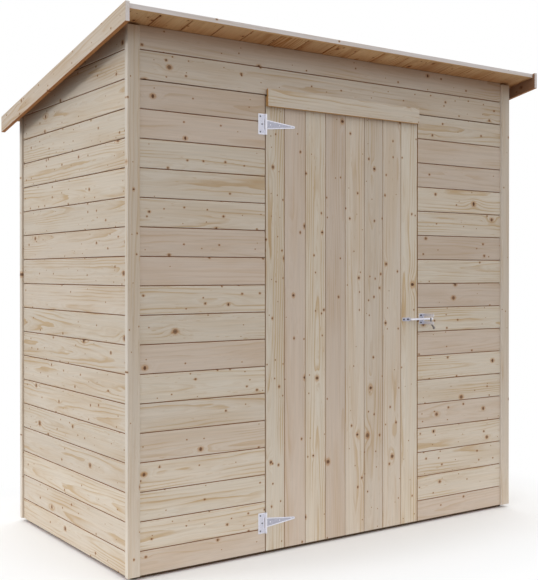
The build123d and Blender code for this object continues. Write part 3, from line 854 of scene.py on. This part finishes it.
def add_strap(bm, height):
    """A tapering strap with a raised rim round its pressed middle, and the knuckle that turns on the pin."""
    outline = [(STRAP_START_X, -STRAP_ROOT)]
    for turn in TIP_TURNS_IN_DEGREES:
        angle = math.radians(turn)
        outline.append((STRAP_TIP_X + STRAP_TIP * math.cos(angle), STRAP_TIP * math.sin(angle)))
    outline.append((STRAP_START_X, STRAP_ROOT))
    front = [bm.verts.new((x, STRAP_BACK - STRAP_SHEET, height + z)) for x, z in outline]
    rear = [bm.verts.new((x, STRAP_BACK, height + z)) for x, z in outline]
    face = bm.faces.new(front)
    face.normal_update()
    bm.faces.new(rear[::-1])
    for i in range(len(front)):
        j = (i + 1) % len(front)
        bm.faces.new((front[j], front[i], rear[i], rear[j]))
    sink_face(bm, face)
    turns = [math.radians(360 / KNUCKLE_SIDES * side) for side in range(KNUCKLE_SIDES)]
    rings = []
    for radius in (KNUCKLE, KNUCKLE_BORE):
        circle = [(HINGE_PIN.x + radius * math.cos(a), HINGE_PIN.y + radius * math.sin(a)) for a in turns]
        for end in (-STRAP_ROOT, STRAP_ROOT):
            rings.append([bm.verts.new((x, y, height + end)) for x, y in circle])
    outer_low, outer_high, bore_low, bore_high = rings
    for i in range(KNUCKLE_SIDES):
        j = (i + 1) % KNUCKLE_SIDES
        bm.faces.new((outer_low[i], outer_low[j], outer_high[j], outer_high[i]))
        bm.faces.new((bore_low[j], bore_low[i], bore_high[i], bore_high[j]))
        bm.faces.new((outer_high[i], outer_high[j], bore_high[j], bore_high[i]))
        bm.faces.new((outer_low[j], outer_low[i], bore_low[i], bore_low[j]))


bm = bmesh.new()
for height in HINGE_HEIGHTS:
    add_strap(bm, height)
bmesh.ops.recalc_face_normals(bm, faces=bm.faces)
straps = piece_of("tee_hinge_straps", mesh_from("tee_hinge_straps", bm), BRIGHT_ZINC, "door", "zinc",
                  "hinge_straps", smooth=True)
# The sunk middles and the flat fronts take darker zinc, as painted shade
straps.data.materials.append(SHADED_PRESSED_ZINC)
ease_metal("tee_hinge_plates", "hinge_wall_plates", BRIGHT_ZINC, "shed", pressed=SATIN_AND_SHADED_ZINC)
ease_metal("gate_striker", "latch_striker", BRIGHT_ZINC, "door", flats=SHADED_PRESSED_ZINC)
ease_metal("gate_bracket", "latch_bracket", BRIGHT_ZINC, "shed", flats=SHADED_PRESSED_ZINC)
ease_metal("gate_lever", "latch_lever", LEVER_ZINC, "lever")


# Screws

def screw_head():
    """A pan head with a cross recess, facing the front."""
    sides = 12
    rim_radius = 0.0034
    top_radius = 0.0026
    rim_height = 0.0008
    top_height = 0.0017
    recess_depth = 0.0012
    recess_taper = 0.7
    long = 0.0018
    half = 0.00045
    cross = ((long, -half), (long, half), (half, half), (half, long), (-half, long), (-half, half),
             (-long, half), (-long, -half), (-half, -half), (-half, -long), (half, -long), (half, -half))
    turns = [math.radians(30 * k - 15) for k in range(sides)]
    bm = bmesh.new()
    loops = []
    for radius, height in ((rim_radius, 0.0), (rim_radius, rim_height), (top_radius, top_height)):
        loops.append([bm.verts.new((radius * math.cos(a), -height, radius * math.sin(a))) for a in turns])
    for taper, depth in ((1.0, 0.0), (recess_taper, recess_depth)):
        loops.append([bm.verts.new((taper * x, -top_height + depth, taper * z)) for x, z in cross])
    for lower, upper in zip(loops, loops[1:]):
        for i in range(sides):
            j = (i + 1) % sides
            bm.faces.new((lower[i], lower[j], upper[j], upper[i]))
    bm.faces.new(loops[-1])
    bm.faces.new(loops[0][::-1])
    bmesh.ops.recalc_face_normals(bm, faces=bm.faces)
    return placed("screw_head", mesh_from("screw_head", bm))


def screw_tree():
    tree, sockets, given, result = node_group(
        "screws_in_places",
        (("Places", "Geometry"), ("Head", "Object"), ("Size", "Float"), ("Lean", "Vector"), ("Seed", "Int"),
         ("Plating", "Material")), "Screws")
    head = tree.nodes.new("GeometryNodeObjectInfo")
    tree.links.new(given["Head"], head.inputs["Object"])
    spin = tree.nodes.new("ShaderNodeCombineXYZ")
    tree.links.new(random_between(tree, 0.0, math.pi, given["Seed"]), spin.inputs["Y"])
    turned = tree.nodes.new("FunctionNodeRotateRotation")
    turned.rotation_space = "GLOBAL"
    tree.links.new(spin.outputs[0], turned.inputs["Rotation"])
    tree.links.new(given["Lean"], turned.inputs["Rotate By"])
    driven = tree.nodes.new("GeometryNodeInstanceOnPoints")
    tree.links.new(given["Places"], driven.inputs["Points"])
    tree.links.new(head.outputs["Geometry"], driven.inputs["Instance"])
    tree.links.new(turned.outputs["Rotation"], driven.inputs["Rotation"])
    tree.links.new(given["Size"], driven.inputs["Scale"])
    make_real(tree, driven.outputs["Instances"], given["Plating"], result)
    return tree, sockets


SCREWS, SCREW_SOCKETS = screw_tree()
SCREW_HEAD = screw_head()


def drive_screws(name, places, size, plating, body, seed, lean=0.0):
    """Screws at the places given, facing the front, or leant back from there about the shed's length."""
    points = bpy.data.meshes.new(name + "_places")
    points.from_pydata(places, [], [])
    mesh = grown_from(name, points, SCREWS, SCREW_SOCKETS, {
        "Head": SCREW_HEAD, "Size": size, "Lean": (-lean, 0.0, 0.0), "Seed": seed, "Plating": plating})
    piece_of(name, mesh, plating, body, "zinc")


STRAP_FACE = STRAP_BACK - STRAP_SHEET + PRESS_DEPTH
PLATE_SCREWS = ((-0.434, -0.031), (-0.425, 0.0), (-0.434, 0.031))
STRAP_SCREWS_X = (-0.385, -0.339, -0.281)
STRIKER_FACE = -0.519
STRIKER_HEIGHT = 0.935
STRIKER_SCREWS_X = (0.3455, 0.3695)
BRACKET_FACE = -0.5185
BRACKET_SCREWS_X = 0.4505
BRACKET_SCREW_HEIGHTS = (0.951, 0.918)
# Dark heads as painted shade of their cross recesses
drive_screws("hinge_plate_screws",
             [(x, STRAP_FACE, height + z) for height in HINGE_HEIGHTS for x, z in PLATE_SCREWS],
             1.0, DARK_ZINC, "shed", 71)
drive_screws("hinge_strap_screws",
             [(x, STRAP_FACE, height) for height in HINGE_HEIGHTS for x in STRAP_SCREWS_X],
             0.9, BRIGHT_ZINC, "door", 72)
# Near-black heads as painted shade of their cross recesses
drive_screws("striker_screws", [(x, STRIKER_FACE, STRIKER_HEIGHT) for x in STRIKER_SCREWS_X],
             1.25, DARK_STEEL_AND_SHADE, "door", 73)
drive_screws("bracket_screws", [(BRACKET_SCREWS_X, BRACKET_FACE, z) for z in BRACKET_SCREW_HEIGHTS],
             1.25, DARK_STEEL_AND_SHADE, "shed", 74)

# Two screws hold each roof board at the front wall, at the purlin and at the back wall
ROOF_FIXINGS = (-0.478, 0.027, 0.532)
ROOF_SCREW_SHARES = (0.25, 0.75)
ROOF_SCREW_MARGIN = 0.02
deck_top = deck_front + ROOF_UP * DECK_THICKNESS
roof_places = []
for row_y in ROOF_FIXINGS:
    row = deck_top + DOWN_ROOF * ((row_y - deck_top.y) / DOWN_ROOF.y)
    for board in range(DECK_BOARDS):
        for share in ROOF_SCREW_SHARES:
            x = DECK_FIRST + (board + share) * DECK_COVER
            if deck_low.x + ROOF_SCREW_MARGIN < x < deck_high.x - ROOF_SCREW_MARGIN:
                roof_places.append((x, row.y, row.z))
drive_screws("roof_screws", roof_places, 1.2, SATIN_AND_SHADED_ZINC, "shed", 75, math.radians(90) + ROOF_SLOPE)
bpy.data.objects.remove(SCREW_HEAD)


# Floor, light and camera

SKY_LOW = 0.59
SKY_HIGH = 1.67
FLOOR_HALF = 30.0
NEAR_FLOOR = (0.85, 0.85, 0.85, 1.0)
FAR_FLOOR = (0.20, 0.20, 0.20, 1.0)
FLOOR_DIMS = (0.35, 1.3)
FLOOR_FADES = (0.02, 0.75)


def seen_rays(tree):
    """1 for rays from the camera, from gloss and through glass, 0 for the rest."""
    path = tree.nodes.new("ShaderNodeLightPath")
    return calc(tree, "MAXIMUM", path.outputs["Is Camera Ray"],
                calc(tree, "MAXIMUM", path.outputs["Is Glossy Ray"], path.outputs["Is Transmission Ray"]))


def mix_shaders(tree, amount, first, second):
    either = tree.nodes.new("ShaderNodeMixShader")
    for socket, source in zip(either.inputs, (amount, first, second)):
        tree.links.new(source, socket)
    return either.outputs[0]


def white_light(tree, kind, level):
    node = tree.nodes.new(kind)
    node.inputs["Color"].default_value = (1.0, 1.0, 1.0, 1.0)
    node.inputs["Strength"].default_value = level
    return node.outputs[0]


def beyond(tree, value, half):
    """How far a place lies outside a strip about the middle, 0 inside it."""
    return calc(tree, "MAXIMUM", calc(tree, "SUBTRACT", calc(tree, "ABSOLUTE", value), half), 0.0)


def studio():
    """A sky that is brighter overhead, and a pale floor that fades to white away from the shed's shadow."""
    bpy.context.scene.view_settings.view_transform = "Standard"
    world = bpy.data.worlds.new("studio")
    bpy.context.scene.world = world
    world.use_nodes = True
    tree = world.node_tree
    height = split_xyz(tree, tree.nodes.new("ShaderNodeTexCoord").outputs["Generated"])[2]
    sky = mix_shaders(tree, calc(tree, "MAXIMUM", height, 0.0),
                      white_light(tree, "ShaderNodeBackground", SKY_LOW),
                      white_light(tree, "ShaderNodeBackground", SKY_HIGH))
    seen = mix_shaders(tree, seen_rays(tree), sky, white_light(tree, "ShaderNodeBackground", 1.0))
    tree.links.new(seen, tree.nodes["World Output"].inputs["Surface"])

    bm = bmesh.new()
    bmesh.ops.create_grid(bm, x_segments=4, y_segments=4, size=FLOOR_HALF)
    floor = placed("studio_floor", mesh_from("studio_floor", bm))
    pale, tree, matt = new_material("studio_pale")
    matt.inputs["Roughness"].default_value = 0.9
    matt.inputs["Specular IOR Level"].default_value = 0.0
    x, y, _ = split_xyz(tree, object_place(tree))
    away = hypotenuse(tree, beyond(tree, x, -left_high.x), beyond(tree, y, back_high.y))
    colour = tint(tree, rise(tree, away, *FLOOR_DIMS), NEAR_FLOOR, FAR_FLOOR)
    tree.links.new(colour, matt.inputs["Base Color"])
    fade = calc(tree, "MULTIPLY", rise(tree, away, *FLOOR_FADES), seen_rays(tree))
    seen = mix_shaders(tree, fade, matt.outputs[0], white_light(tree, "ShaderNodeEmission", 1.0))
    tree.links.new(seen, tree.nodes["Material Output"].inputs["Surface"])
    floor.data.materials.append(pale)


def lamp(name, place, aim, size, watts):
    light = bpy.data.lights.new(name, "AREA")
    light.shape = "RECTANGLE"
    light.size, light.size_y = size
    light.energy = watts
    rig = placed(name, light)
    rig.location = place
    rig.rotation_euler = (Vector(aim) - Vector(place)).to_track_quat("-Z", "Y").to_euler()
    rig.visible_camera = False


studio()
lamp("left_softbox", place=(-6.0, 1.3, 3.35), aim=(-1.0, 0.0, 1.4), size=(1.1, 1.1), watts=58.0)

# The photograph's camera, with its focal length and its shift in pixels
CAMERA_PLACE = Vector((-2.6290, -3.7462, 1.1407))
CAMERA_HEADING = math.radians(34.720)
CAMERA_DIP = math.radians(0.315)
PHOTO_HEIGHT = 580
FOCAL_PIXELS = 966.9
SHIFT_PIXELS = -11
SENSOR_WIDTH = 36.0
lens = bpy.data.cameras.new("photograph_view")
lens.sensor_width = SENSOR_WIDTH
lens.lens = FOCAL_PIXELS / PHOTO_HEIGHT * SENSOR_WIDTH
lens.shift_y = SHIFT_PIXELS / PHOTO_HEIGHT
lens.dof.use_dof = False
camera = placed("photograph_view", lens)
camera.location = CAMERA_PLACE
camera.rotation_euler = (math.radians(90) - CAMERA_DIP, 0.0, -CAMERA_HEADING)
bpy.context.scene.camera = camera
